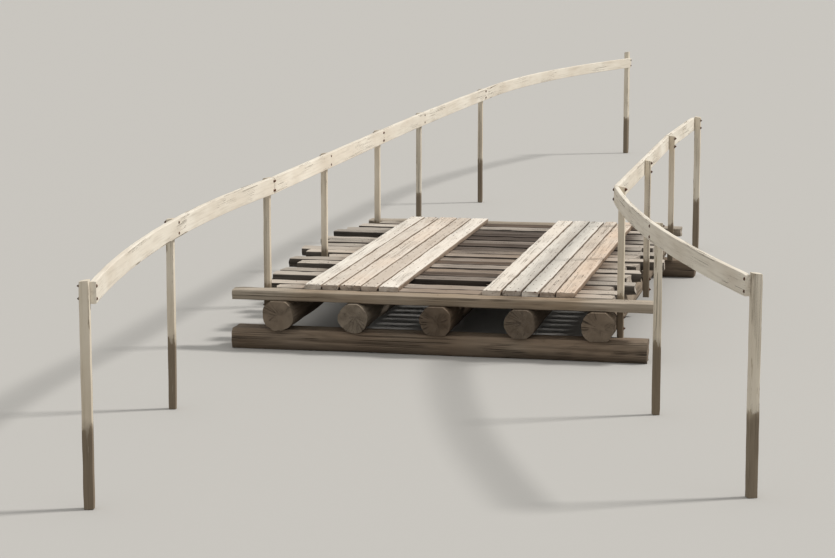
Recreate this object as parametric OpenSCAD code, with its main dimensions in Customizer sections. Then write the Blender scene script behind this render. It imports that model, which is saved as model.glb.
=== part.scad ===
// Timber track bridge over a small creek: five log stringers on two hewn sills,
// cross timbers, two wheel tracks of running planks, and a single-board rail on
// posts along each side that runs on past both ends. Millimetres, +Z up, +Y
// along the track, +X to the right. The origin is the middle of the near sill's
// underside, and everything that meets the ground goes down to that level.

/* [Span] */
// Distance between the middles of the two sills
span = 4800; // [4200:50:6000]
// Distance from the centre line to the line of the bridge posts' inner faces
edge_x = 1570; // [1450:10:1900]

/* [Sills] */
// Height of the sills, which are hewn flat above and below
sill_h = 180; // [140:5:240]
// Diameter of the logs that the sills are hewn from
sill_d = 300; // [280:5:380]
// Length of the sills past the post line, on each side
sill_past = 300; // [120:10:600]

/* [Stringers] */
// Diameter of the stringer logs at the butt
log_d = 300; // [270:5:360]
// How much thinner a log is at its tip
log_taper = 20; // [0:2:24]
// Distance from the centre line to the middle of the inner stringers
inner_log_x = 750; // [650:10:850]
// Depth hewn off the top of the logs to seat the cross timbers
log_top_flat = 25; // [14:1:40]
// Depth of the seat cut in the underside of the logs over each sill
log_seat = 20; // [14:1:40]
// Depth of the flats cut in the outer logs to seat the posts
log_side_flat = 16; // [14:1:30]
// Length of the logs past the end sleepers
log_past = 60; // [0:5:300]

/* [Cross timbers] */
// Thickness of the cross timbers
cross_t = 90; // [60:5:130]
// Mean width of the cross timbers
cross_w = 202; // [150:2:205]
// How much the width of a cross timber departs from the mean
cross_w_vary = 10; // [0:1:12]
// Number of places for cross timbers between the end sleepers
cross_count = 19; // [17:1:20]
// Place of the cross timber that has broken off, so that only its right end is left
broken_at = 2; // [1:1:6]
// Length of the broken end that shows beside the right wheel track
broken_stub = 110; // [60:5:200]
// Depth of the splinters on the broken end
splinter_depth = 70; // [30:5:120]
// Places of the cross timbers that stop short just outside the left wheel track
short_at = [5, 14]; // [4:1:15]
// Place of the long cross timber just behind the middle posts
post_timber_at = 9; // [7:1:11]
// Length of that timber past the post line on the right
post_timber_past = 210; // [100:5:300]
// Least length of the cross timbers' ragged left ends past the post line
ragged_min = 130; // [60:5:200]
// Spread of the ragged left ends
ragged_spread = 230; // [0:5:300]
// Length of the longest of the ragged right ends past the post line
right_past = 90; // [0:5:120]
// Spread of the ragged right ends
right_spread = 210; // [0:5:220]
// Depth that the most worn tops of the cross timbers have lost
cross_wear = 9; // [0:1:15]
// How far the cut ends of the deck timbers are out of square, at most
end_skew = 28; // [0:2:40]

/* [End sleepers] */
// Width of the end sleepers
sleeper_w = 200; // [160:5:260]
// Length of the near sleeper past the post line on the right
near_sleeper_right = 400; // [150:10:500]
// Length of the near sleeper past the post line on the left
near_sleeper_left = 330; // [150:10:500]
// Length of the far sleeper past the post line, on each side
far_sleeper_past = 150; // [100:10:400]

/* [Running planks] */
// Thickness of the running planks
plank_t = 45; // [30:1:60]
// Distance from the centre line to each wheel track
track_x = 380; // [330:10:480]
// Widths of the left track's planks, from the centre line outwards
left_plank_w = [180, 150, 190, 150, 160]; // [100:5:280]
// Widths of the right track's planks, from the centre line outwards
right_plank_w = [165, 170, 150, 135, 170]; // [100:5:280]
// Gap between neighbouring planks
plank_gap = 9; // [4:1:12]
// Length of the shortest planks' ends that bears on the end sleepers
plank_bearing = 30; // [20:5:60]
// Spread of the planks' ends along the track
plank_spread = 25; // [0:5:80]

/* [Rails] */
// Height of the rail boards' top above the wheel tracks
rail_h = 950; // [800:10:1200]
// Depth of the rail boards, which stand on edge
board_h = 150; // [120:5:200]
// Thickness of the rail boards
board_t = 42; // [30:1:50]
// Width of the square posts
post_w = 60; // [50:1:80]
// Width of the square posts at the ends of the rails
end_post_w = 70; // [60:1:100]
// Height of the end posts above the boards
end_post_up = 12; // [0:1:60]
// Height of the last left post above its board
tall_post_up = 100; // [20:5:200]
// Slope of the posts' tops, which shed the rain outwards
post_slope = 8; // [0:1:20]
// Gap between the ends of two boards that meet at a post
butt_gap = 4; // [2:1:10]
// Length of a board's free end that bears on its end post
end_bearing = 34; // [20:1:48]

/* [Left rail] */
// Length of the near board, before the bridge
left_near_len = 5900; // [4000:50:7000]
// Angle that the near board turns through
left_near_turn = 15.5; // [1:0.5:20]
// Angle of the kink where the near board meets the bridge
left_near_kink = 4; // [0:0.5:8]
// Distance along the near board to its middle post
left_near_post = 3090; // [1500:10:3500]
// Length of the far board, after the bridge
left_far_len = 5830; // [4000:10:7000]
// Angle that the far board turns through
left_far_turn = 2; // [0.5:0.5:6]
// Distance along the far board to its middle post
left_far_post = 2180; // [1000:10:3500]
// Length of the tail board, the last one
left_tail_len = 6750; // [4000:50:7500]
// Angle that the tail board turns through
left_tail_turn = 19.5; // [1:0.5:24]
// Angle of the kink between the far board and the tail board
left_tail_kink = 1.5; // [0:0.5:6]

/* [Right rail] */
// Length of the near board, before the bridge
right_near_len = 4930; // [4000:10:7000]
// Angle that the near board turns through
right_near_turn = 12.8; // [1:0.2:20]
// Angle of the kink where the near board meets the bridge
right_near_kink = 10.6; // [0:0.2:14]
// Distance along the near board to its middle post
right_near_post = 2600; // [1500:10:3500]
// Length of the far board, after the bridge
right_far_len = 2165; // [1500:5:4000]
// Angle of the kink between the bridge board and the far board
right_far_kink = 2.2; // [0:0.2:6]

/* [Hidden] */
$fn = 96;
// Faces round a full circle of the rails' long arcs
arc_faces = 480;

// Clearance between faces that are fixed to each other but not both flat
fit = 0.3;
// Bevel along the edges of the heavy timbers
bevel = 8;
// Bevel along the edges of the planks and boards
fine_bevel = 4;
// Length that each flat for a post runs past the post
flat_past = 40;
// How far the deck stops short of the post line
edge_gap = 20;
// Least overlap along the track at which a timber counts as lying beside a post
beside = 1;
// Length by which cutting blocks pass what they cut
cut = 50;
// Number of splinters on the broken end
splinters = 5;
// Share of a timber's width by which an outline for its end passes the sides
edge_pass = 0.1;
// Number of cross timbers in the near group, and in the far one
group = 6;
// Posts along each side
left_post_count = 8;
right_post_count = 6;

LEFT = -1;
RIGHT = 1;

log_axis_z = sill_h + log_d / 2 - log_seat;
log_top_z = log_axis_z + log_d / 2 - log_top_flat;
cross_top_z = log_top_z + cross_t;
deck_z = cross_top_z + plank_t;
rail_top_z = deck_z + rail_h;
outer_log_x = edge_x - log_d / 2 + log_side_flat;

// A value between 0 and 1 that varies from piece to piece, and with the use k that it is
// put to: angles far apart on the circle give sines that look unordered
piece_angle = 137;
use_angle = 71;
function vary(i, k) = 0.5 + 0.5 * sin(i * piece_angle + k * use_angle);

// The cross timbers share the length between the end sleepers
cross_pitch = (span - sleeper_w) / cross_count;
function cross_y(i) = sleeper_w / 2 + cross_pitch * (i + 0.5);
function cross_width(i) = cross_w + cross_w_vary * (2 * vary(i, 5) - 1);

// Places of the bridge posts along the track, each against a long timber
near_post_y = sleeper_w / 2 + post_w / 2;
middle_post_y = cross_y(post_timber_at) - cross_width(post_timber_at) / 2 - post_w / 2;
far_post_y = span - sleeper_w / 2 - post_w / 2;

function worn(i) = i % 3 == 0 ? 0 : cross_wear * vary(i, 1);

// A cross timber beside a post stops inside the post line
function beside_post(i) =
    let (reach = cross_width(i) / 2 + post_w / 2)
    max([for (y = [near_post_y, middle_post_y, far_post_y])
        abs(cross_y(i) - y) < reach - beside ? 1 : 0]) > 0;

function left_end(i) =
    i == post_timber_at ? -edge_x - ragged_min - ragged_spread / 2
    : i == broken_at ? track_x - broken_stub
    : len(search(i, short_at)) > 0 ? -track_x - track_width(left_plank_w) - edge_gap
    : beside_post(i) ? -edge_x + edge_gap
    : -edge_x - ragged_min - ragged_spread * vary(i, 2);

function right_end(i) =
    i == post_timber_at ? edge_x + post_timber_past
    : beside_post(i) ? edge_x - edge_gap
    : edge_x + right_past - right_spread * vary(i, 3);

function sum(v, n) = n == 0 ? 0 : v[n - 1] + sum(v, n - 1);
function track_width(widths) = sum(widths, len(widths)) + plank_gap * (len(widths) - 1);

// A pose is [x, y, heading]; the heading turns from +Y towards +X. This gives the
// pose that lies a length ahead on an arc that turns through an angle, and with
// both negative the pose that lies behind.
function ahead(pose, length, turn) =
    let (
        chord = abs(turn) < 0.001 ? length : 2 * length * 180 / (PI * turn) * sin(turn / 2),
        way = pose[2] + turn / 2
    )
    [pose[0] + chord * sin(way), pose[1] + chord * cos(way), pose[2] + turn];

function turned(pose, angle) = [pose[0], pose[1], pose[2] + angle];

left_3 = [-edge_x, near_post_y, 0];
left_4 = [-edge_x, middle_post_y, 0];
left_5 = [-edge_x, far_post_y, 0];
left_near_finish = turned(left_3, left_near_kink);
left_1 = ahead(left_near_finish, -left_near_len, -left_near_turn);
left_2 = ahead(left_1, left_near_post, left_near_turn * left_near_post / left_near_len);
left_6 = ahead(left_5, left_far_post, left_far_turn * left_far_post / left_far_len);
left_7 = ahead(left_5, left_far_len, left_far_turn);
tail_start = turned(left_7, -left_tail_kink);
left_8 = ahead(tail_start, left_tail_len, left_tail_turn);

right_3 = [edge_x, near_post_y, 0];
right_4 = [edge_x, middle_post_y, 0];
right_5 = [edge_x, far_post_y, 0];
right_near_finish = turned(right_3, -right_near_kink);
right_1 = ahead(right_near_finish, -right_near_len, -right_near_turn);
right_2 = ahead(right_1, right_near_post, right_near_turn * right_near_post / right_near_len);
far_start = turned(right_5, right_far_kink);
right_6 = ahead(far_start, right_far_len, 0);

bridge_board_len = far_post_y - near_post_y;

// A rectangle with bevelled corners, from the origin
module bevelled(w, h, b) {
    polygon([[b, 0], [w - b, 0], [w, b], [w, h - b], [w - b, h], [b, h], [0, h - b], [0, b]]);
}

// The outline that an end is cut to, seen from above. Each point gives how far it lies
// back from the timber's full length, and its place across the width as a share of it,
// from just before the near edge to just past the far one.
function skewed(i, k) =
    let (lean = end_skew * (2 * vary(i, k) - 1))
    [[max(lean, 0), -edge_pass], [max(-lean, 0), 1 + edge_pass]];

function splintered(i) = [
    for (n = [0 : 2 * splinters])
        let (share = n % 2 == 0 ? (1 + vary(n, i)) / 2 : vary(n, i) / 2)
        [splinter_depth * share, -edge_pass + (1 + 2 * edge_pass) * n / (2 * splinters)]
];

// A timber lying across the track, from x0 to x1, centred at y, its underside at z, with
// its ends cut to two outlines
module across(x0, x1, y, z, w, h, left_cut, right_cut) {
    last = len(right_cut) - 1;
    translate([0, y - w / 2, z])
        intersection() {
            translate([x0, 0, 0])
                rotate([90, 0, 90])
                    linear_extrude(x1 - x0)
                        bevelled(w, h, bevel);
            translate([0, 0, -cut])
                linear_extrude(h + 2 * cut)
                    polygon(concat(
                        [for (p = left_cut) [x0 + p[0], p[1] * w]],
                        [for (n = [0 : last]) [x1 - right_cut[last - n][0], right_cut[last - n][1] * w]]
                    ));
        }
}

// A log hewn flat above and below, centred at y
module sill(y) {
    half = edge_x + sill_past;
    color("#6b5a48")
        translate([0, y, 0])
            intersection() {
                translate([-half, 0, sill_h / 2])
                    rotate([0, 90, 0])
                        cylinder(d = sill_d, h = 2 * half);
                translate([-half - cut, -sill_d / 2 - cut, 0])
                    cube([2 * (half + cut), sill_d + 2 * cut, sill_h]);
            }
}

// A block that cuts a flat for a post into the outer face of a stringer
module post_flat(y, side) {
    half = post_w / 2 + flat_past;
    translate([side > 0 ? edge_x : -edge_x - cut, y - half, log_axis_z - log_d])
        cube([cut, 2 * half, 2 * log_d]);
}

// A tapered log along the track, hewn on top for the deck and seated on the sills.
// butt_near says which end is the thick one, and side is 0 for a log without posts.
module stringer(x, butt_near, side = 0) {
    start = -sleeper_w / 2 - log_past;
    length = span - 2 * start;
    thick = log_d / 2;
    thin = (log_d - log_taper) / 2;
    color("#6f6253")
        difference() {
            translate([x, start, log_axis_z])
                rotate([-90, 0, 0])
                    cylinder(
                        r1 = butt_near ? thick : thin,
                        r2 = butt_near ? thin : thick,
                        h = length
                    );
            translate([x - log_d, start - cut, log_top_z])
                cube([2 * log_d, length + 2 * cut, cut + log_top_flat]);
            for (y = [0, span])
                translate([x - log_d, y - sill_d / 2, sill_h - cut])
                    cube([2 * log_d, sill_d, cut]);
            if (side != 0)
                for (y = [near_post_y, middle_post_y, far_post_y])
                    post_flat(y, side);
        }
}

module end_sleeper(y, past_left, past_right) {
    color("#a59683")
        across(-edge_x - past_left, edge_x + past_right, y, log_top_z, sleeper_w, cross_t,
            skewed(y, 6), skewed(y, 7));
}

module cross_timbers(first, last) {
    color("#8a7a68")
        for (i = [first : last])
            across(left_end(i), right_end(i), cross_y(i), log_top_z, cross_width(i), cross_t - worn(i),
                i == broken_at ? splintered(i) : skewed(i, 6), skewed(i, 7));
}

// One plank of a wheel track, counted from the centre line outwards
module running_plank(side, widths, n) {
    near_end = sleeper_w / 2 - plank_bearing - plank_spread * vary(n, 4 + side);
    far_end = span - sleeper_w / 2 + plank_bearing + plank_spread * vary(n, 7 + side);
    inner = track_x + sum(widths, n - 1) + plank_gap * (n - 1);
    color("#d9c3a5")
        translate([side > 0 ? inner : -inner - widths[n - 1], far_end, cross_top_z])
            rotate([90, 0, 0])
                linear_extrude(far_end - near_end)
                    bevelled(widths[n - 1], plank_t, fine_bevel);
}

// A post behind the rail line at a pose. Its inner face is planed to the boards that bear
// on it: they head as the pose does, or flare outwards by the angle of a kink.
module post(pose, side, width, up = 0, foot_z = 0, near_kink = 0, far_kink = 0) {
    height = rail_top_z + up - foot_z;
    color("#cfc4ae")
        translate([pose[0], pose[1], foot_z])
            rotate(-pose[2])
                mirror([side > 0 ? 0 : 1, 0, 0])
                    difference() {
                        translate([fit, -width / 2, 0])
                            cube([width, width, height]);
                        translate([0, 0, height])
                            rotate([0, post_slope, 0])
                                translate([-cut, -width, 0])
                                    cube([width + 2 * cut, 2 * width, 2 * cut]);
                        planed(width, height, near_kink);
                        mirror([0, 1, 0])
                            planed(width, height, far_kink);
                    }
}

// What is planed off a post's inner face behind its middle, for a board that flares out
module planed(width, height, kink) {
    if (kink != 0)
        rotate(kink)
            translate([fit - cut, -width - cut, -cut])
                cube([cut, width + cut, height + 3 * cut]);
}

// The section of a rail board, from the rail line inwards, on the inner side
module board_section() {
    translate([0, rail_top_z - board_h])
        bevelled(board_t, board_h, fine_bevel);
}

// A board sprung along an arc from a pose. trim_start and trim_end are the lengths
// that it stops short of the arc's ends.
module board(pose, side, length, turn, trim_start, trim_end) {
    real = length - trim_start - trim_end;
    real_turn = turn * real / length;
    start = ahead(pose, trim_start, turn * trim_start / length);
    color("#e6dcc8")
        translate([start[0], start[1], 0])
            rotate(-start[2])
                if (turn == 0)
                    translate([side > 0 ? -board_t : 0, real, 0])
                        rotate([90, 0, 0])
                            linear_extrude(real)
                                board_section();
                else {
                    radius = length * 180 / (PI * turn);
                    translate([radius, 0, 0])
                        rotate(180 - real_turn)
                            rotate_extrude(angle = real_turn, $fn = arc_faces)
                                translate([side > 0 ? radius : radius - board_t, 0])
                                    board_section();
                }
}

half_butt = butt_gap / 2;
free_end = end_post_w / 2 - end_bearing;

module left_post(n) {
    if (n == 1) post(left_1, LEFT, end_post_w, end_post_up);
    if (n == 2) post(left_2, LEFT, post_w);
    if (n == 3) post(left_3, LEFT, post_w, 0, sill_h, left_near_kink);
    if (n == 4) post(left_4, LEFT, post_w, 0, sill_h);
    if (n == 5) post(left_5, LEFT, post_w, 0, sill_h);
    if (n == 6) post(left_6, LEFT, post_w);
    if (n == 7) post(tail_start, LEFT, post_w, 0, 0, left_tail_kink);
    if (n == 8) post(left_8, LEFT, end_post_w, tall_post_up);
}

module right_post(n) {
    if (n == 1) post(right_1, RIGHT, end_post_w, end_post_up);
    if (n == 2) post(right_2, RIGHT, post_w);
    if (n == 3) post(right_3, RIGHT, post_w, 0, sill_h, right_near_kink);
    if (n == 4) post(right_4, RIGHT, post_w, 0, sill_h);
    if (n == 5) post(right_5, RIGHT, post_w, 0, sill_h, 0, right_far_kink);
    if (n == 6) post(right_6, RIGHT, end_post_w, end_post_up);
}

sill(0);  // near_sill
sill(span);  // far_sill
stringer(-outer_log_x, true, LEFT);  // stringer_outer_left
stringer(-inner_log_x, false);  // stringer_inner_left
stringer(0, true);  // stringer_centre
stringer(inner_log_x, false);  // stringer_inner_right
stringer(outer_log_x, true, RIGHT);  // stringer_outer_right
end_sleeper(0, near_sleeper_left, near_sleeper_right);  // near_end_sleeper
end_sleeper(span, far_sleeper_past, far_sleeper_past);  // far_end_sleeper
cross_timbers(0, group - 1);  // cross_timbers_near
cross_timbers(group, cross_count - group - 1);  // cross_timbers_middle
cross_timbers(cross_count - group, cross_count - 1);  // cross_timbers_far
for (n = [1 : len(left_plank_w)])
    running_plank(LEFT, left_plank_w, n);
for (n = [1 : len(right_plank_w)])
    running_plank(RIGHT, right_plank_w, n);
for (n = [1 : left_post_count])
    left_post(n);
for (n = [1 : right_post_count])
    right_post(n);
board(left_1, LEFT, left_near_len, left_near_turn, free_end, half_butt);  // left_rail_near
board(left_3, LEFT, bridge_board_len, 0, half_butt, half_butt);  // left_rail_bridge
board(left_5, LEFT, left_far_len, left_far_turn, half_butt, half_butt);  // left_rail_far
board(tail_start, LEFT, left_tail_len, left_tail_turn, half_butt, free_end);  // left_rail_tail
board(right_1, RIGHT, right_near_len, right_near_turn, free_end, half_butt);  // right_rail_near
board(right_3, RIGHT, bridge_board_len, 0, half_butt, half_butt);  // right_rail_bridge
board(far_start, RIGHT, right_far_len, 0, half_butt, free_end);  // right_rail_far
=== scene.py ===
"""Looks of the timber track bridge: weathered timbers, painted rails, bolts and spikes.

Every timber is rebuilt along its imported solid, with worn arrises, raised grain and ragged ends,
and carries three attributes on its points for the materials:
grain  the point in the timber's own axes from its pith, with Y along the fibres
tone   a number from 0 to 1 that differs from timber to timber
edge   how near the point is to an arris or an end, from 0 to 1
Lengths are in metres. A timber's own axes are across it, along it and up, in that order.
"""

import math
from types import SimpleNamespace

import bmesh
import bpy
import numpy as np
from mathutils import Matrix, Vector


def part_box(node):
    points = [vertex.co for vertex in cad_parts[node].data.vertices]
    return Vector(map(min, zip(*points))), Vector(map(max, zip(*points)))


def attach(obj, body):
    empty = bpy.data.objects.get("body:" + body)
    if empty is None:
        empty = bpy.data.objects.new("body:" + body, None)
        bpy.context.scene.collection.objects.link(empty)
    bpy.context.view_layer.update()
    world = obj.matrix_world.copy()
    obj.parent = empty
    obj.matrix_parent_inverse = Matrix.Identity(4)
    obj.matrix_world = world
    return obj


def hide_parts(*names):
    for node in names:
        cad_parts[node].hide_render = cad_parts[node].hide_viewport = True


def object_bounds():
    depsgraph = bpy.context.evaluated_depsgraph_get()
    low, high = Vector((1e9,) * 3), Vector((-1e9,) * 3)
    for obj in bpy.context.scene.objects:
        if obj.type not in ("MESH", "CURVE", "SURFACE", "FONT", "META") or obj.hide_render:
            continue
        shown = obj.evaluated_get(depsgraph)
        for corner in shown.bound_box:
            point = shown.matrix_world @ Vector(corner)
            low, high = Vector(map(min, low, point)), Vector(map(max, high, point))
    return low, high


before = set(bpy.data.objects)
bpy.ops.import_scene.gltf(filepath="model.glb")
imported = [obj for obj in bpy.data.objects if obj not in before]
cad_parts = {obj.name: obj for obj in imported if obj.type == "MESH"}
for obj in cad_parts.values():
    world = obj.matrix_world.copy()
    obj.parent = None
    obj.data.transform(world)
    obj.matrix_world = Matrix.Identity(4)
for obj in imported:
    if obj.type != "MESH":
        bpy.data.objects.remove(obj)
cad_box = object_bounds()

UP = np.array([0.0, 0.0, 1.0])

# The first seed of each kind of timber, what a log's seed gets added for its hollows, and the
# seed of the spikes' places
STRINGER_SEED, SILL_SEED, DECK_SEED, RAIL_SEED, POST_SEED = 40, 60, 100, 200, 300
HOLLOW_SEED = 500
SPIKE_SEED = 7


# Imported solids

# Corners closer than this are one point
SAME_POINT = 1e-5


def solids(node):
    """The corner points of each separate solid of a CAD node, sorted along the track."""
    source = bmesh.new()
    source.from_mesh(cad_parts[node].data)
    bmesh.ops.remove_doubles(source, verts=source.verts, dist=SAME_POINT)
    found, seen = [], set()
    for start in source.verts:
        if start in seen:
            continue
        seen.add(start)
        group, queue = [], [start]
        while queue:
            vert = queue.pop()
            group.append(vert.co[:])
            for edge in vert.link_edges:
                other = edge.other_vert(vert)
                if other not in seen:
                    seen.add(other)
                    queue.append(other)
        found.append(np.array(group))
    source.free()
    return sorted(found, key=lambda points: points[:, 1].mean())


def node_points(node):
    return np.concatenate(solids(node))


# Noise

class Waves:
    """Smooth noise of about unit size: sine waves in random directions, one set for each seed."""

    COUNT = 9

    def __init__(self, seed):
        rng = np.random.default_rng(seed)
        self.ways = rng.normal(size=(self.COUNT, 3))
        self.phases = rng.uniform(0, 2 * math.pi, self.COUNT)
        self.gain = math.sqrt(2 / self.COUNT)

    def __call__(self, points, per_metre):
        turns = (points * np.asarray(per_metre, float)) @ self.ways.T
        return self.gain * np.sin(2 * math.pi * turns + self.phases).sum(-1)


# Timbers

class Run:
    """A centreline through points, with places and directions at distances along it."""

    # A direction is taken over this share of the length, to either side
    TANGENT_REACH = 0.02

    def __init__(self, points, up):
        self.points = np.asarray(points, float)
        steps = np.linalg.norm(np.diff(self.points, axis=0), axis=1)
        self.marks = np.concatenate([[0.0], np.cumsum(steps)])
        self.length = self.marks[-1]
        self.up = np.asarray(up, float)

    def stations(self, step):
        """How many stations about a step apart it has, with its ends."""
        return max(2, round(self.length / step) + 1)

    def nearest(self, distance):
        """The point at each distance, or the end that is nearest to it."""
        return np.stack([np.interp(distance, self.marks, self.points[:, axis]) for axis in range(3)], -1)

    def place(self, distance):
        """The point at each distance; past the ends the line goes straight on."""
        inside = np.clip(distance, 0, self.length)
        return self.nearest(inside) + (distance - inside)[..., None] * self.ahead(inside)

    def ahead(self, distance):
        """The unit direction at each distance."""
        reach = self.TANGENT_REACH * self.length
        way = self.nearest(distance + reach) - self.nearest(distance - reach)
        return way / np.linalg.norm(way, axis=-1, keepdims=True)

    def world(self, local):
        """The place of points given on the timber's own axes."""
        along = self.ahead(local[..., 1])
        across = np.cross(along, self.up)
        return self.place(local[..., 1]) + local[..., 0, None] * across + local[..., 2, None] * self.up


CORNER_POINTS = 4
# How far from a corner a point still counts as near it
ARRIS_REACH = 0.03


def rounded_outline(width, thick, radius, step):
    """Points round a rectangle with rounded corners, about a step apart on its sides, and how
    near each is to a corner, from 1 to 0."""
    half_w, half_t = width / 2 - radius, thick / 2 - radius
    corners = [(half_w, -half_t, -90), (half_w, half_t, 0), (-half_w, half_t, 90), (-half_w, -half_t, 180)]

    def on_corner(index, part):
        x, z, start = corners[index % len(corners)]
        angle = math.radians(start + 90 * part / (CORNER_POINTS - 1))
        return np.array((x + radius * math.cos(angle), z + radius * math.sin(angle)))

    points, nearness = [], []
    for index in range(len(corners)):
        points += [on_corner(index, part) for part in range(CORNER_POINTS)]
        nearness += [1.0] * CORNER_POINTS
        last = points[-1]
        side = on_corner(index + 1, 0) - last
        length = np.linalg.norm(side)
        count = max(1, round(length / step))
        for part in range(1, count):
            points.append(last + side * part / count)
            from_corner = min(part, count - part) * length / count
            nearness.append(max(0.0, 1 - from_corner / ARRIS_REACH))
    return np.array(points), np.array(nearness)


# Edges that turn by more than this stay sharp
SHARP_ANGLE = math.radians(35)


class Batch:
    """Meshes that become one piece."""

    def __init__(self):
        self.points, self.loops, self.sizes = [], [], []
        self.values = {"grain": [], "tone": [], "edge": []}
        self.count = 0

    def add(self, points, faces, grain, tone, edge):
        """faces are arrays of corner numbers, one array for each number of corners."""
        self.points.append(points)
        for group in faces:
            self.loops.append((group + self.count).ravel())
            self.sizes.append(np.full(len(group), group.shape[1]))
        self.values["grain"].append(grain)
        self.values["tone"].append(np.full(len(points), float(tone)))
        self.values["edge"].append(edge)
        self.count += len(points)

    def piece(self, name, material, slot, nodes=()):
        """Make the piece, in place of the CAD nodes that it stands for."""
        mesh = bpy.data.meshes.new(name)
        points = np.concatenate(self.points)
        loops = np.concatenate(self.loops)
        sizes = np.concatenate(self.sizes)
        mesh.vertices.add(len(points))
        mesh.vertices.foreach_set("co", points.astype(np.float32).ravel())
        mesh.loops.add(len(loops))
        mesh.loops.foreach_set("vertex_index", loops.astype(np.int32))
        mesh.polygons.add(len(sizes))
        starts = np.concatenate([[0], np.cumsum(sizes)[:-1]])
        mesh.polygons.foreach_set("loop_start", starts.astype(np.int32))
        mesh.polygons.foreach_set("use_smooth", np.ones(len(sizes), bool))
        mesh.update(calc_edges=True)
        mesh.validate()
        for key, kind, field in (("grain", "FLOAT_VECTOR", "vector"), ("tone", "FLOAT", "value"),
                                 ("edge", "FLOAT", "value")):
            layer = mesh.attributes.new(key, kind, "POINT")
            layer.data.foreach_set(field, np.concatenate(self.values[key]).astype(np.float32).ravel())
        mesh.set_sharp_from_angle(angle=SHARP_ANGLE)
        mesh.materials.append(material)
        piece = bpy.data.objects.new(name, mesh)
        bpy.context.scene.collection.objects.link(piece)
        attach(piece, "root")
        if nodes:
            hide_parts(*nodes)


def grid_faces(rings, around):
    """Quads between neighbouring rings of points, wound outwards."""
    ring, spot = np.meshgrid(np.arange(rings - 1), np.arange(around), indexing="ij")
    ring, spot = ring.ravel(), spot.ravel()
    after = (spot + 1) % around
    return np.stack([ring * around + spot, (ring + 1) * around + spot,
                     (ring + 1) * around + after, ring * around + after], -1)


# How timbers weather, by kind:
# step, across  the mesh's spacing along the timber and round it
# radius        of the arrises
# grain         depth of the raised grain, and grain_waves how fast it varies, per metre
# worn          depth of the wear on arrises, and end_wear what more comes off at the ends
# ragged        how uneven the ends are, or one value for each end, and end_waves how fast, per metre
# slant         the most that an end leans, as a slope
# bow, lift     the most that the middle bends to a side, and up
# pith          the most that the pith is off the timber's middle
SAWN = {"step": 0.05, "across": 0.011, "radius": 0.006, "grain": 0.0012, "grain_waves": (26, 0.7, 26),
        "worn": 0.003, "end_wear": 0.004, "ragged": 0.002, "end_waves": (5, 0, 5), "slant": 0.02,
        "bow": 0.003, "lift": 0.0, "pith": 0.22}
CROSS = {**SAWN, "step": 0.04, "radius": 0.012, "grain": 0.0022, "worn": 0.006, "end_wear": 0.009,
         "ragged": 0.004, "slant": 0.06, "bow": 0.006, "pith": 0.09}
BROKEN = {**CROSS, "step": 0.02, "across": 0.005, "ragged": (0.02, 0.002), "end_waves": (16, 0, 16)}
SLEEPER = {**CROSS, "radius": 0.014, "slant": 0.03}
PLANK = {**SAWN, "radius": 0.007, "worn": 0.004, "ragged": 0.004, "lift": 0.003}
BOARD = {**SAWN, "step": 0.06, "radius": 0.004, "grain": 0.0006, "worn": 0.0015, "ragged": 0.0015,
         "bow": 0.0, "pith": 0.2}
POST = {**SAWN, "radius": 0.005, "grain": 0.0008, "worn": 0.002, "ragged": 0.001, "slant": 0.0,
        "bow": 0.002, "pith": 0.11}
LOG = {**SAWN, "grain": 0.004, "grain_waves": (9, 0.35, 9), "worn": 0.0, "end_wear": 0.0,
       "ragged": 0.003, "slant": 0.05, "bow": 0.0, "pith": 0.02}

# How fast the wear of arrises and the breaks at ends vary, per metre
WEAR_WAVES = (3, 2.5, 3)
BREAK_WAVES = (5, 3, 5)
# How far from an end its breaks, its raggedness and its worn colour reach
BREAK_REACH = 0.1
RAGGED_REACH = 0.15
END_EDGE_REACH = 0.05
# How fast the fibres drift across a timber along its length
FIBRE_SLOPE = 0.012
# The most that the place of a timber's noise is moved, each way
NOISE_RANGE = 50
# Sizes of the rings that close an end, as shares of its outline, and the power of the share by
# which its worn colour fades
CAP_RINGS = (0.93, 0.78, 0.55, 0.28)
CAP_FADE = 6
# Sizes that are divided by are at least this
LEAST_SIZE = 1e-6


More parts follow.
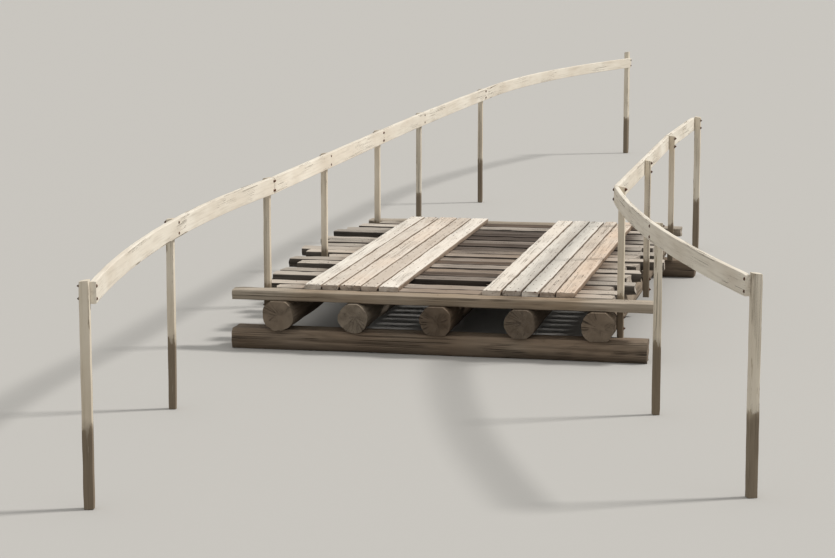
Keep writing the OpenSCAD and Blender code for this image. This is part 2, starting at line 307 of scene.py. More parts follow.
def weathered(local, near_arris, from_end, length, look, rng):
    """A timber's points after weather and wear, and how far its noise is moved."""
    wide = Waves(rng.integers(1 << 30))
    fine = Waves(rng.integers(1 << 30))
    offset = rng.uniform(-NOISE_RANGE, NOISE_RANGE, 3)
    inward = local * (1, 0, 1)
    inward = inward / np.maximum(np.linalg.norm(inward, axis=-1, keepdims=True), LEAST_SIZE)
    moved = local.copy()

    # Raised grain: shallow grooves that run along the fibres
    grooves = np.clip(fine(local + offset, look["grain_waves"]), 0, None)
    moved -= inward * (look["grain"] * grooves)[..., None]

    # Arrises worn back unevenly, and most near the ends, where corners break off
    uneven = 0.6 + 0.4 * np.clip(wide(local + offset, WEAR_WAVES), -1, 2)
    broken = np.clip(1 - from_end / BREAK_REACH, 0, 1) ** 2
    broken = broken * np.clip(fine(local + offset, BREAK_WAVES), 0, 2)
    worn = look["worn"] * near_arris * uneven + look["end_wear"] * near_arris * broken
    moved -= inward * worn[..., None]

    # Ends that are ragged along the fibres and lean in from the timber's full length
    ragged = fine(local * (1, 0, 1) + offset, look["end_waves"])
    slant = rng.uniform(-1, 1, 2) * look["slant"]
    lean = local[..., 0] * slant[0] + local[..., 2] * slant[1]
    at_start = local[..., 1] < length / 2
    rough_start, rough_finish = np.broadcast_to(look["ragged"], 2)
    push = np.where(at_start, rough_start, rough_finish) * ragged + lean
    push = np.where(at_start, push[at_start].max(), push[~at_start].max()) - push
    moved[..., 1] += np.where(at_start, push, -push) * np.clip(1 - from_end / RAGGED_REACH, 0, 1)

    # A gentle bow that leaves the ends in place
    share = local[..., 1] / length
    hump = np.sin(math.pi * share) * (0.7 + 0.3 * np.sin(2 * math.pi * share + offset[0]))
    moved[..., 0] += look["bow"] * rng.uniform(-1, 1) * hump
    moved[..., 2] += look["lift"] * rng.uniform(0, 1) * hump
    return moved, offset


def from_pith(moved, local, length, look, along, rng):
    """The points from the timber's pith, which lies at a distance, mostly off a wide face, with
    fibres that slope a little. along moves them along the fibres."""
    turn, reach = rng.uniform(0, 2 * math.pi), look["pith"] * rng.uniform(0.75, 1)
    width, _, thick = np.ptp(local, axis=(0, 1))
    pith = np.array([thick * math.cos(turn), width * math.sin(turn)])
    pith *= reach / np.linalg.norm(pith)
    grain = moved + (-pith[0], along, -pith[1])
    grain[..., 0] += FIBRE_SLOPE * (local[..., 1] - length / 2)
    return grain


def loft(batch, run, section, edge, look, seed, reshape=None):
    """A closed timber along a run. section holds (across, up) points round it, as one outline or
    one for each station, edge how near each is to an arris, and reshape changes the timber's
    points before they are placed."""
    rng = np.random.default_rng(seed)
    stations = run.stations(look["step"])
    around = section.shape[-2]
    outline = np.broadcast_to(section, (stations, around, 2))
    local = np.empty((stations, around, 3))
    local[..., 0], local[..., 2] = outline[..., 0], outline[..., 1]
    local[..., 1] = np.linspace(0, run.length, stations)[:, None]

    # The middle of each end is closed by rings that shrink towards its centre
    caps = [np.stack([end * (share, 1, share) for share in CAP_RINGS]) for end in (local[0], local[-1])]
    cap_edge = np.array(CAP_RINGS)[:, None] ** CAP_FADE * np.ones(around)
    local = np.concatenate([caps[0][::-1], local, caps[1]])
    near_arris = np.concatenate([cap_edge[::-1], np.broadcast_to(edge, (stations, around)), cap_edge])
    from_end = np.minimum(local[..., 1], run.length - local[..., 1])
    near_end = np.clip(1 - from_end / END_EDGE_REACH, 0, 1)
    near_end[:len(CAP_RINGS)] = near_end[-len(CAP_RINGS):] = 0
    near_edge = np.maximum(near_arris, near_end).ravel()

    moved, offset = weathered(local, near_arris, from_end, run.length, look, rng)
    if reshape is not None:
        moved = reshape(moved, local)
    grain = from_pith(moved, local, run.length, look, offset[1], rng)

    # A fan of triangles closes the smallest ring of each end
    rings = len(local)
    first, last = np.arange(around), (rings - 1) * around + np.arange(around)
    hub, other_hub = rings * around, rings * around + 1
    fans = np.concatenate([np.stack([np.full(around, hub), first, np.roll(first, -1)], -1),
                           np.stack([np.full(around, other_hub), np.roll(last, -1), last], -1)])
    hubs = moved[[0, -1]].mean(1) * (0, 1, 1)
    batch.add(np.concatenate([run.world(moved).reshape(-1, 3), run.world(hubs)]),
              [grid_faces(rings, around), fans],
              np.concatenate([grain.reshape(-1, 3), grain[[0, -1]].mean(1)]), rng.uniform(),
              np.concatenate([near_edge, [0, 0]]))


def end_line(points, axis, at_start):
    """How an end of a solid that lies along an axis is cut: places across it, and how far along
    the axis it reaches at each."""
    middle = (points[:, axis].min() + points[:, axis].max()) / 2
    end = points[(points[:, axis] < middle) == at_start]
    across = end[:, 1 - axis].round(4)
    places = np.unique(across)
    return places, np.array([end[across == place, axis].mean() for place in places])


def sawn_timber(batch, points, axis, look, seed):
    """A sawn timber in place of a solid that lies along an axis: 0 across, 1 along the track."""
    low, high = points.min(0), points.max(0)
    middle = (low + high) / 2
    ends = np.stack([middle, middle])
    ends[0, axis], ends[1, axis] = low[axis], high[axis]
    run = Run(ends, UP)
    start_line, finish_line = end_line(points, axis, True), end_line(points, axis, False)
    # Across a run along the track is +X, and across one that lies over it is -Y
    way = 1 if axis == 1 else -1

    def cut_ends(moved, local):
        across = middle[1 - axis] + way * moved[..., 0]
        start = np.interp(across, *start_line)
        finish = np.interp(across, *finish_line)
        moved[..., 1] = start - low[axis] + moved[..., 1] / run.length * (finish - start)
        return moved

    width = high[1 - axis] - low[1 - axis]
    section, edge = rounded_outline(width, high[2] - low[2], look["radius"], look["across"])
    loft(batch, run, section, edge, look, seed, cut_ends)


# Places of the timbers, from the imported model

CROSS_NODES = ("cross_timbers_near", "cross_timbers_middle", "cross_timbers_far")
PLANK_NODES = sorted(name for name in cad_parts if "running_plank" in name)
POST_NODES = sorted(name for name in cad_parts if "_post_" in name)
RAIL_NODES = sorted(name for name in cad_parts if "_rail_" in name)
STRINGER_NODES = sorted(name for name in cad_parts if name.startswith("stringer"))
SILL_NODES = ("near_sill", "far_sill")
SLEEPER_NODES = ("near_end_sleeper", "far_end_sleeper")
# The third to fifth posts of each side are bolted to the bridge
BRIDGE_POSTS = "345"

CROSS_SOLIDS = {node: solids(node) for node in CROSS_NODES}
DECK_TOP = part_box(PLANK_NODES[0])[1].z
DECK_NEAR_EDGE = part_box("near_end_sleeper")[0].y
TRACK_INNER = min(min(abs(corner.x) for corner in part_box(node)) for node in PLANK_NODES)
TRACK_OUTER = max(max(abs(corner.x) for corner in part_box(node)) for node in PLANK_NODES)


# Headings that a post's square foot is tried at, and the depths of its foot's and top's slices
HEADINGS = np.radians(np.arange(-44, 45, 0.1))
FOOT_SLICE = 0.01
TOP_SLICE = 0.05


def post_shape(node):
    """The middle, width and foot of a post, the ways across it and ahead along the rail, and how
    its top falls outwards."""
    points = node_points(node)
    foot, top = points[:, 2].min(), points[:, 2].max()
    plan = points[points[:, 2] < foot + FOOT_SLICE][:, :2]

    def turned(heading):
        turn = np.array([[math.cos(heading), -math.sin(heading)], [math.sin(heading), math.cos(heading)]])
        flat = plan @ turn.T
        return turn, flat.min(0), flat.max(0)

    def area(heading):
        _, low, high = turned(heading)
        return np.prod(high - low)

    turn, low, high = turned(min(HEADINGS, key=area))
    across, ahead = turn
    middle = turn.T @ ((low + high) / 2)
    upper = points[points[:, 2] > top - TOP_SLICE]
    slope, top_middle = np.polyfit((upper[:, :2] - middle) @ across, upper[:, 2], 1)
    return SimpleNamespace(middle=middle, width=(high - low).mean(), foot=foot, across=across,
                           ahead=ahead, slope=slope, top_middle=top_middle)


# A board with corners at fewer places along the track is straight. A curved one follows a
# polynomial of this degree, through this many points.
CURVED_PLACES = 8
CURVE_DEGREE = 4
CURVE_POINTS = 120


def rail_run(node):
    """The centreline of a rail board, its depth and its thickness."""
    points = node_points(node)
    straight = len(np.unique(points[:, 1].round(3))) < CURVED_PLACES
    fit = np.polyfit(points[:, 1], points[:, 0], 1 if straight else CURVE_DEGREE)
    slope = np.polyder(fit)
    lean = np.polyval(slope, points[:, 1])
    feet = points[:, 1] + (points[:, 0] - np.polyval(fit, points[:, 1])) * lean / (1 + lean ** 2)
    y = np.linspace(feet.min(), feet.max(), CURVE_POINTS)
    off = (points[:, 0] - np.polyval(fit, feet)) / np.sqrt(1 + np.polyval(slope, feet) ** 2)
    x = np.polyval(fit, y) + (off.max() + off.min()) / 2
    low, high = points[:, 2].min(), points[:, 2].max()
    spots = np.stack([x, y, np.full_like(y, (low + high) / 2)], -1)
    return Run(spots, UP), high - low, off.max() - off.min()


# The points of a log's end face are closer than this to its end
END_FACE_DEPTH = 1e-4


def end_circle(points, axis, at_start):
    """The circle through a log's end, as (across, up, radius)."""
    edge = points[:, axis].min() if at_start else points[:, axis].max()
    ends = points[np.abs(points[:, axis] - edge) < END_FACE_DEPTH]
    x, z = ends[:, 1 - axis], ends[:, 2]
    table = np.stack([2 * x, 2 * z, np.ones_like(x)], -1)
    across, up, rest = np.linalg.lstsq(table, x ** 2 + z ** 2, rcond=None)[0]
    return across, up, math.sqrt(rest + across ** 2 + up ** 2)


POSTS = {node: post_shape(node) for node in POST_NODES}
RAILS = {node: rail_run(node) for node in RAIL_NODES}


# Materials

def colour(text):
    """An sRGB colour such as #d8c4ab, as a linear one."""
    values = [int(text[i:i + 2], 16) / 255 for i in (1, 3, 5)]
    return [value / 12.92 if value <= 0.04045 else ((value + 0.055) / 1.055) ** 2.4
            for value in values] + [1.0]


class Graph:
    """A material under construction. Most methods make a node and give its output."""

    def __init__(self, name):
        self.material = bpy.data.materials.new(name)
        self.material.use_nodes = True
        self.tree = self.material.node_tree
        self.shader = self.tree.nodes["Principled BSDF"]

    def feed(self, socket, value):
        if isinstance(value, bpy.types.NodeSocket):
            self.tree.links.new(value, socket)
        else:
            socket.default_value = value

    def surface(self, **inputs):
        """Set the shader's inputs, each named with _ for its spaces."""
        for key, value in inputs.items():
            self.feed(self.shader.inputs[key.replace("_", " ")], value)

    def node(self, kind, inputs=None, **settings):
        """Make a node and feed its inputs, which are given by name or number."""
        made = self.tree.nodes.new(kind)
        for key, value in settings.items():
            setattr(made, key, value)
        for key, value in (inputs or {}).items():
            self.feed(made.inputs[key], value)
        return made

    def attribute(self, name, output):
        return self.node("ShaderNodeAttribute", attribute_name=name).outputs[output]

    def place(self):
        return self.node("ShaderNodeTexCoord").outputs["Object"]

    def axis(self, vector, name):
        return self.node("ShaderNodeSeparateXYZ", {0: vector}).outputs[name]

    def vector(self, operation, a, b=(0, 0, 0)):
        return self.node("ShaderNodeVectorMath", {0: a, 1: b}, operation=operation).outputs[0]

    def scaled(self, vector, scale):
        return self.vector("MULTIPLY", vector, scale)

    def length(self, vector):
        return self.node("ShaderNodeVectorMath", {0: vector}, operation="LENGTH").outputs["Value"]

    def math(self, operation, a, b=0.0):
        return self.node("ShaderNodeMath", {0: a, 1: b}, operation=operation).outputs[0]

    def times(self, a, b):
        return self.math("MULTIPLY", a, b)

    def noise(self, vector, scale, detail=3.0, roughness=0.55, distortion=0.0):
        return self.node("ShaderNodeTexNoise", {
            "Vector": vector, "Scale": scale, "Detail": detail, "Roughness": roughness,
            "Distortion": distortion}).outputs[0]

    def fibrous(self, grain, along, *settings):
        """Noise drawn out along the fibres: there it varies along times as fast as across."""
        return self.noise(self.scaled(grain, (1, along, 1)), *settings)

    def remap(self, value, low, high, to_low=0.0, to_high=1.0):
        """A smooth step from to_low to to_high, as the value goes from low to high."""
        return self.node("ShaderNodeMapRange", {
            "Value": value, "From Min": low, "From Max": high, "To Min": to_low, "To Max": to_high,
        }, interpolation_type="SMOOTHSTEP").outputs[0]

    def mix(self, share, a, b):
        """Colour a where the share is 0, and colour b where it is 1."""
        return self.node("ShaderNodeMix", {0: share, 6: a, 7: b}, data_type="RGBA").outputs[2]

    def over(self, base, text, mask, strength):
        """The base with another colour over it where the mask is 1, at this strength."""
        return self.mix(self.times(mask, strength), base, colour(text))

    def total(self, parts):
        """The weighted sum of (value, weight) pairs."""
        terms = [self.times(value, weight) for value, weight in parts]
        total = terms[0]
        for term in terms[1:]:
            total = self.math("ADD", total, term)
        return total

    def bump(self, height, distance):
        inputs = {"Height": height, "Distance": distance, "Strength": 1.0}
        return self.node("ShaderNodeBump", inputs).outputs[0]


# Angle of the growth rings' wave per metre from the pith, for rings 7 mm apart, and the angle
# that noise moves it by
RING_ANGLE = 900.0
RING_DRIFT = 16.0


def timber_fields(graph, spread):
    """The grain, and the numbers from 0 to 1 that every timber's material is made of. spread is how
    much the checks change across the timber: more in one sawn far from its pith."""
    grain = graph.attribute("grain", "Vector")
    fibre = graph.fibrous(grain, 0.035, 150.0, 4.0, 0.62)
    streak = graph.fibrous(grain, 0.05, 16.0, 4.0, 0.6, 0.4)
    blotch = graph.fibrous(grain, 0.4, 5.0, 3.0, 0.55)
    patch = graph.noise(grain, 1.1, 2.0, 0.5)

    # Growth rings about the pith show on end grain, and as long figures on the faces
    flat = graph.scaled(grain, (1, 0, 1))
    drift = graph.fibrous(grain, 0.15, 7.0, 2.0, 0.5)
    wave = graph.math("SINE", graph.total([(graph.length(flat), RING_ANGLE), (drift, RING_DRIFT)]))
    ring = graph.math("ADD", graph.times(wave, 0.5), 0.5)

    # Drying checks open on planes through the pith: thin dark lines that come and go, which run
    # along the fibres on the faces and outwards on the ends
    outwards = graph.vector("NORMALIZE", flat)
    plane = graph.vector("ADD", graph.scaled(outwards, (0.4, 0, 0.4)),
                         graph.scaled(grain, (spread, 0.005, spread)))
    line = graph.noise(plane, 34.0, 2.0, 0.5, 0.15)
    thin = graph.remap(graph.math("ABSOLUTE", graph.math("SUBTRACT", line, 0.5)), 0.004, 0.018, 1.0, 0.0)
    where = graph.remap(graph.fibrous(grain, 0.25, 6.0, 2.0), 0.46, 0.6)
    return SimpleNamespace(grain=grain, tone=graph.attribute("tone", "Fac"),
                           edge=graph.attribute("edge", "Fac"), fibre=fibre, streak=streak,
                           blotch=blotch, patch=patch, ring=ring, check=graph.times(thin, where))


def height_above(graph, level, wander):
    """How far a point is above a level, with an unsteady edge."""
    place = graph.place()
    unsteady = graph.times(graph.noise(place, 9.0, 4.0), wander)
    return graph.math("ADD", graph.math("SUBTRACT", graph.axis(place, "Z"), level), unsteady)


# How far the borders of the trodden and bleached strips wander, and where they fade, from the
# edges of the wheel tracks
STRIP_WANDER = 0.2
TRODDEN_FADE = (0.0, 0.14)
BLEACHED_FADE = (0.05, 0.3)


def across_track(graph):
    """Two masks: between the wheel tracks, and past them."""
    place = graph.place()
    x = graph.math("ABSOLUTE", graph.axis(place, "X"))
    x = graph.math("ADD", x, graph.times(graph.noise(place, 5.0, 3.0), STRIP_WANDER))
    between = graph.remap(x, *(TRACK_INNER + reach for reach in TRODDEN_FADE), 1.0, 0.0)
    past = graph.remap(x, *(TRACK_OUTER + reach for reach in BLEACHED_FADE))
    return between, past


# Half the range of the weighted sum in which bare timber goes from dark to light
BARE_CONTRAST = 0.33


def bare_timber(name, dark, light, stain, tint, damp, shaded=0.5, depth=0.0025, varied=0.45,
                spread=0.06, trodden=None, bleached=None, gap_axis=None):
    """Unpainted weathered timber. dark and light are the ends of its usual range, stain the
    colour of patches, checks and gaps, tint the colour that some timbers lean to, and
    damp the colour of dampness and painted shade on faces that look sideways or down,
    mixed in by shaded. depth is that of the grain, and varied how much the timbers differ.
    trodden and bleached are the colours between and past the tracks, and gap_axis the way
    that faces look which are darkened with stain, as dirt and painted shade from the gaps between
    timbers."""
    graph = Graph(name)
    fields = timber_fields(graph, spread)
    parts = [(fields.streak, 0.55), (fields.blotch, 0.25), (fields.fibre, 0.6),
             (fields.tone, varied), (fields.patch, 0.25)]
    middle = sum(weight for _, weight in parts) / 2
    share = graph.remap(graph.total(parts), middle - BARE_CONTRAST, middle + BARE_CONTRAST)
    base = graph.mix(share, colour(dark), colour(light))
    some_timbers = graph.remap(graph.math("FRACT", graph.times(fields.tone, 7.0)), 0.2, 0.9)
    lean = graph.times(graph.remap(fields.patch, 0.3, 0.66, 0.3, 1.0), some_timbers)
    base = graph.over(base, tint, lean, 0.6)
    if trodden:
        between, past = across_track(graph)
        base = graph.over(base, trodden, between, 0.3)
        base = graph.over(base, bleached, past, 0.55)
    base = graph.over(base, stain, graph.math("SUBTRACT", 1.0, fields.ring), 0.14)
    spots = graph.remap(graph.fibrous(fields.grain, 0.3, 11.0, 4.0, 0.65), 0.6, 0.8)
    base = graph.over(base, stain, spots, 0.4)
    base = graph.over(base, light, fields.edge, 0.12)
    # Dampness and painted shade: faces darken towards the colour for dampness and painted shade the more
    # they look sideways or down
    normal = graph.node("ShaderNodeNewGeometry").outputs["Normal"]
    looks_down = graph.remap(graph.axis(normal, "Z"), -0.6, 0.75, shaded, 0.0)
    base = graph.mix(looks_down, base, colour(damp))
    # Dirt and painted shade in the gaps: faces that look across the gaps between timbers are darkened with
    # the stain colour
    if gap_axis:
        gap_dirt_and_shade = graph.remap(graph.math("ABSOLUTE", graph.axis(normal, gap_axis)), 0.3, 0.8)
        base = graph.over(base, stain, gap_dirt_and_shade, 0.8)
    base = graph.over(base, stain, fields.check, 0.8)
    height = graph.total([(fields.fibre, 0.5), (fields.ring, 0.12), (fields.check, -1.6),
                          (fields.streak, 0.5)])
    graph.surface(Base_Color=base, Normal=graph.bump(height, depth),
                  Roughness=graph.remap(fields.streak, 0.3, 0.7, 0.82, 0.9), Specular_IOR_Level=0.25)
    return graph.material


# Painted timber is sawn far from the pith. Its grain and its coat's edges stand up this much.
PAINTED_SPREAD = 0.25
PAINTED_DEPTH = 0.0012
CHECK_COLOUR = "#5b5046"
SOIL_COLOUR = "#75685a"


def painted_timber(name, paint, chalk, grime, wood_dark, wood_light, bare, soiled=False):
    """Old paint on sawn timber, from paint to chalk where it is weathered, with streaks of
    grime. bare is how much of the paint has gone, from 0 to 1, and soiled timber is bare and
    stained by earth below the level of the track."""
    graph = Graph(name)
    fields = timber_fields(graph, PAINTED_SPREAD)
    grain = fields.grain
    wood_level = graph.total([(fields.streak, 0.6), (fields.fibre, 0.5), (fields.tone, 0.2)])
    wood = graph.mix(graph.remap(wood_level, 0.45, 0.85), colour(wood_dark), colour(wood_light))
    wood = graph.over(wood, CHECK_COLOUR, fields.check, 0.6)
    coat_level = graph.total([(fields.blotch, 0.5), (fields.patch, 0.7), (fields.tone, 0.2)])
    coat = graph.mix(graph.remap(coat_level, 0.45, 0.9), colour(chalk), colour(paint))
    streaks = graph.remap(graph.fibrous(grain, 0.04, 55.0, 4.0, 0.6), 0.46, 0.72)
    coat = graph.over(coat, grime, streaks, 0.35)
    runs = graph.remap(graph.fibrous(grain, 0.12, 12.0, 4.0, 0.6), 0.52, 0.8)
    coat = graph.over(coat, grime, runs, 0.3)

    # The coat flakes along the fibres first, at checks, arrises and ends
    flecks = graph.fibrous(grain, 0.07, 60.0, 5.0, 0.68, 0.3)
    flake = graph.total([(flecks, 0.75), (fields.blotch, 0.35), (fields.patch, 0.3), (fields.edge, 0.16),
                         (fields.check, 0.35), (fields.tone, 0.1)])
    if soiled:
        soil = graph.remap(height_above(graph, DECK_TOP, 0.14), 0.0, 0.12, 1.0, 0.0)
        flake = graph.math("ADD", flake, graph.times(soil, 0.35))
    limit = 1.12 - 0.5 * bare
    gone = graph.remap(flake, limit - 0.025, limit + 0.025)
    base = graph.mix(gone, coat, wood)
    if soiled:
        base = graph.over(base, SOIL_COLOUR, soil, 0.7)
    height = graph.total([(fields.fibre, 0.35), (fields.check, -0.9), (fields.streak, 0.4), (gone, -0.4)])
    graph.surface(Base_Color=base, Normal=graph.bump(height, PAINTED_DEPTH),
                  Roughness=graph.remap(gone, 0.0, 1.0, 0.66, 0.9), Specular_IOR_Level=0.35)
    return graph.material


def rusty_steel(name):
    graph = Graph(name)
    place = graph.place()
    rust = graph.noise(place, 160.0, 5.0, 0.65)
    coarse = graph.noise(place, 40.0, 3.0, 0.6)
    base = graph.mix(graph.remap(rust, 0.35, 0.65), colour("#3b2a20"), colour("#7a4a2c"))
    base = graph.mix(graph.remap(coarse, 0.55, 0.7), base, colour("#7d7a74"))
    graph.surface(Base_Color=base, Normal=graph.bump(rust, 0.0006), Metallic=0.35,
                  Roughness=graph.remap(rust, 0.3, 0.7, 0.55, 0.85))
    return graph.material


board_paint = painted_timber("board_paint", paint="#f9f3e7", chalk="#e6dccd", grime="#beb3a2",
                             wood_dark="#a1937f", wood_light="#cabeab", bare=0.17)
post_paint = painted_timber("post_paint", paint="#f0e8d9", chalk="#dacebb", grime="#b5a993",
                            wood_dark="#998b76", wood_light="#c3b6a1", bare=0.24, soiled=True)
# Each bare timber below darkens its faces that look sideways or down with painted shade as well as
# dampness, and cross timbers and planks also darken their faces towards the gaps between them with dirt
# and painted shade
cross_wood = bare_timber("cross_wood", dark="#554a43", light="#d3c8bd", stain="#2a2420", tint="#a3886f",
                         damp="#453b34", depth=0.0035, varied=1.2, trodden="#4b403a",
                         bleached="#ddd5ca", gap_axis="Y")
plank_wood = bare_timber("plank_wood", dark="#d6cabd", light="#fffbf3", stain="#7d6855", tint="#e4c6ab",
                         damp="#75655a", shaded=0.8, varied=0.6, spread=0.25, gap_axis="X")
sleeper_wood = bare_timber("sleeper_wood", dark="#9c9184", light="#cfc5b6", stain="#4f453b",
                           tint="#ab9276", damp="#75695b", trodden="#a3937f", bleached="#cdc3b5")
log_wood = bare_timber("log_wood", dark="#6a5f54", light="#a5998a", stain="#2f2822", tint="#856c55",
                       damp="#4b4138", depth=0.006)
steel = rusty_steel("rusty_steel")


# Logs

LOG_SIDES = 96
# Hollows of a log's round face: the deepest, how fast they vary, per metre, and the distance from
# the log's middle within which they fade out
HOLLOW_DEPTH = 0.012
HOLLOW_WAVES = (2.2, 0.7, 2.2)
HOLLOW_CORE = 0.05
# How far the flat for a post reaches past it
POST_FLAT_MARGIN = 0.04


def log_timber(batch, points, axis, flats, seed):
    """A log along an axis through the circles at its two ends. flats cuts the log's points back
    to the hewn faces."""
    near, far = end_circle(points, axis, True), end_circle(points, axis, False)
    ends = np.zeros((2, 3))
    ends[:, 1 - axis], ends[:, 2] = (near[0], far[0]), (near[1], far[1])
    ends[:, axis] = points[:, axis].min(), points[:, axis].max()
    run = Run(ends, UP)
    angles = np.linspace(0, 2 * math.pi, LOG_SIDES + 1)[:-1]
    radius = np.linspace(near[2], far[2], run.stations(LOG["step"]))[:, None]
    section = np.stack([radius * np.cos(angles), radius * np.sin(angles)], -1)
    hollows = Waves(seed + HOLLOW_SEED)

    def reshape(moved, local):
        # Hollows of the round face, then the hewn faces
        dip = np.clip(0.5 + 0.5 * hollows(local, HOLLOW_WAVES), 0, 1) * HOLLOW_DEPTH
        size = np.linalg.norm(moved[..., [0, 2]], axis=-1)
        moved[..., [0, 2]] *= (1 - dip / np.maximum(size, HOLLOW_CORE))[..., None]
        return flats(moved, run)

    loft(batch, run, section, np.zeros(LOG_SIDES), LOG, seed, reshape)


def post_on_log(post_node, log_node):
    """Whether a post is bolted to the side of a stringer."""
    return (log_node.startswith("stringer_outer") and post_node[-1] in BRIDGE_POSTS
            and post_node.split("_")[0] == log_node.split("_")[-1])


def stringer_flats(node):
    """The cuts of one stringer: the flat under the deck, the sill seats and the post flats."""
    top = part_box(node)[1].z
    beside = [post for name, post in POSTS.items() if post_on_log(name, node)]

    def cut(moved, run):
        start = run.points[0]
        world_y = start[1] + moved[..., 1]
        moved[..., 2] = np.minimum(moved[..., 2], top - start[2])
        for sill in SILL_NODES:
            low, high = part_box(sill)
            over = (world_y > low.y) & (world_y < high.y)
            moved[..., 2] = np.where(over, np.maximum(moved[..., 2], high.z - start[2]), moved[..., 2])
        for post in beside:
            side = np.sign(post.middle[0])
            inner_face = abs(post.middle[0]) - post.width / 2
            limit = (inner_face - abs(start[0])) * side
            reach = np.abs(world_y - post.middle[1]) < post.width / 2 + POST_FLAT_MARGIN
            cut_back = np.minimum if side > 0 else np.maximum
            moved[..., 0] = np.where(reach, cut_back(moved[..., 0], limit), moved[..., 0])
        return moved
    return cut


def sill_flats(node):
    """The cuts of one sill: its flats above and below."""
    low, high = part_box(node)

    def cut(moved, run):
        level = run.points[0, 2]
        moved[..., 2] = np.clip(moved[..., 2], low.z - level, high.z - level)
        return moved
    return cut


def build_logs():
    for nodes, axis, flats, seed in ((STRINGER_NODES, 1, stringer_flats, STRINGER_SEED),
                                     (SILL_NODES, 0, sill_flats, SILL_SEED)):
        for index, node in enumerate(nodes):
            batch = Batch()
            log_timber(batch, node_points(node), axis, flats(node), seed + index)
            batch.piece(node + "_log", log_wood, "hewn_log", [node])


# Deck

# A solid whose end has more places than this across it is broken off
SAWN_END_PLACES = 4


def build_deck():
    seed = DECK_SEED
    for node in CROSS_NODES:
        batch = Batch()
        for points in CROSS_SOLIDS[node]:
            splintered = len(end_line(points, 0, True)[0]) > SAWN_END_PLACES
            sawn_timber(batch, points, 0, BROKEN if splintered else CROSS, seed)
            seed += 1
        batch.piece(node + "_worn", cross_wood, "cross_timber", [node])
    for nodes, axis, look, material, slot in (
            (SLEEPER_NODES, 0, SLEEPER, sleeper_wood, "end_sleeper"),
            (PLANK_NODES, 1, PLANK, plank_wood, "running_plank")):
        for node in nodes:
            batch = Batch()
            sawn_timber(batch, node_points(node), axis, look, seed)
            seed += 1
            batch.piece(node + "_worn", material, slot, [node])


# Rails

def build_rails():
    for index, node in enumerate(RAIL_NODES):
        run, depth, thick = RAILS[node]
        section, edge = rounded_outline(thick, depth, BOARD["radius"], BOARD["across"])
        batch = Batch()
        loft(batch, run, section, edge, BOARD, RAIL_SEED + index)
        batch.piece(node + "_painted", board_paint, "rail_board", [node])


# The power of the share of a post's height with which its top's slant sets in
TOP_POWER = 40


def build_post(node, seed):
    post = POSTS[node]
    ends = [[*post.middle, post.foot], [*post.middle, post.top_middle]]
    run = Run(ends, [*post.ahead, 0.0])
    section, edge = rounded_outline(post.width, post.width, POST["radius"], POST["across"])

    def slanted_top(moved, local):
        share = np.clip(local[..., 1] / run.length, 0, 1) ** TOP_POWER
        moved[..., 1] -= post.slope * moved[..., 0] * share
        return moved

    batch = Batch()
    loft(batch, run, section, edge, POST, seed, slanted_top)
    batch.piece(node + "_painted", post_paint, "rail_post", [node])


def build_posts():
    for index, node in enumerate(POST_NODES):
        build_post(node, POST_SEED + index)


# Fasteners, each a profile of (radius, height above its seat)

SPIKE = [(0.008, -0.004), (0.008, 0.001), (0.0065, 0.003), (0.004, 0.004)]
CUP_HEAD = [(0.012, -0.002), (0.012, 0.001), (0.0105, 0.004), (0.007, 0.0065), (0.003, 0.0075)]
WASHER = [(0.016, -0.002), (0.016, 0.0025), (0.007, 0.0025)]
NUT = [(0.0098, 0.002), (0.0098, 0.009), (0.0085, 0.01), (0.0055, 0.01)]
SHANK = [(0.005, 0.0), (0.005, 0.015), (0.0035, 0.016)]


def stud(batch, place, normal, profile, sides=12):
    """A head, washer or bolt end: its profile turned about the normal."""
    normal = normal / np.linalg.norm(normal)
    side = np.cross(normal, UP if abs(normal[2]) < 0.9 else np.array([1.0, 0, 0]))
    side /= np.linalg.norm(side)
    other = np.cross(normal, side)
    angles = np.linspace(0, 2 * math.pi, sides + 1)[:-1]
    ring = np.cos(angles)[:, None] * side + np.sin(angles)[:, None] * other
    profile = np.asarray(profile, float)
    points = place + profile[:, 0, None, None] * ring[None] + profile[:, 1, None, None] * normal
    points = np.concatenate([points.reshape(-1, 3), [place + profile[-1, 1] * normal]])
    tip = len(points) - 1
    last = (len(profile) - 1) * sides + np.arange(sides)
    fan = np.stack([np.full(sides, tip), last, np.roll(last, -1)], -1)
    quads = grid_faces(len(profile), sides)[:, ::-1]
    batch.add(points, [quads, fan], points, 0.5, np.zeros(len(points)))


# Planks wider than this have two spikes in each timber, at these shares of their width
WIDE_PLANK = 0.14
PAIR_SHARES = (0.24, 0.76)
# Spikes through planks stray this far at most, across and along the plank, and along it no more
# than this share of the timber's width below. They are sunk by these depths.
PLANK_SPIKE_STRAY = (0.012, 0.02)
STRAY_SHARE = 0.25
PLANK_SPIKE_SUNK = (0.0015, 0.003)
# The same for spikes into the logs, which stay this far from planks and their timber's ends
LOG_SPIKE_STRAY = (0.03, 0.04)
LOG_SPIKE_SUNK = 0.004
PLANK_CLEAR = 0.02
END_CLEAR = 0.03


def plank_spikes(rows, rng):
    """Spikes through the running planks into the timbers below."""
    batch = Batch()
    across, most_along = PLANK_SPIKE_STRAY
    for node in PLANK_NODES:
        low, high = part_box(node)
        width = high.x - low.x
        shares = PAIR_SHARES if width > WIDE_PLANK else (0.5,)
        for points in rows:
            if points[:, 0].max() < high.x or points[:, 0].min() > low.x:
                continue
            near, far = max(low.y, points[:, 1].min()), min(high.y, points[:, 1].max())
            along = min(most_along, STRAY_SHARE * (far - near))
            for share in shares:
                x = low.x + share * width + rng.uniform(-across, across)
                y = (near + far) / 2 + rng.uniform(-along, along)
                z = high.z - rng.uniform(*PLANK_SPIKE_SUNK)
                stud(batch, np.array([x, y, z]), UP, SPIKE)
    batch.piece("running_plank_spikes", steel, "running_plank")


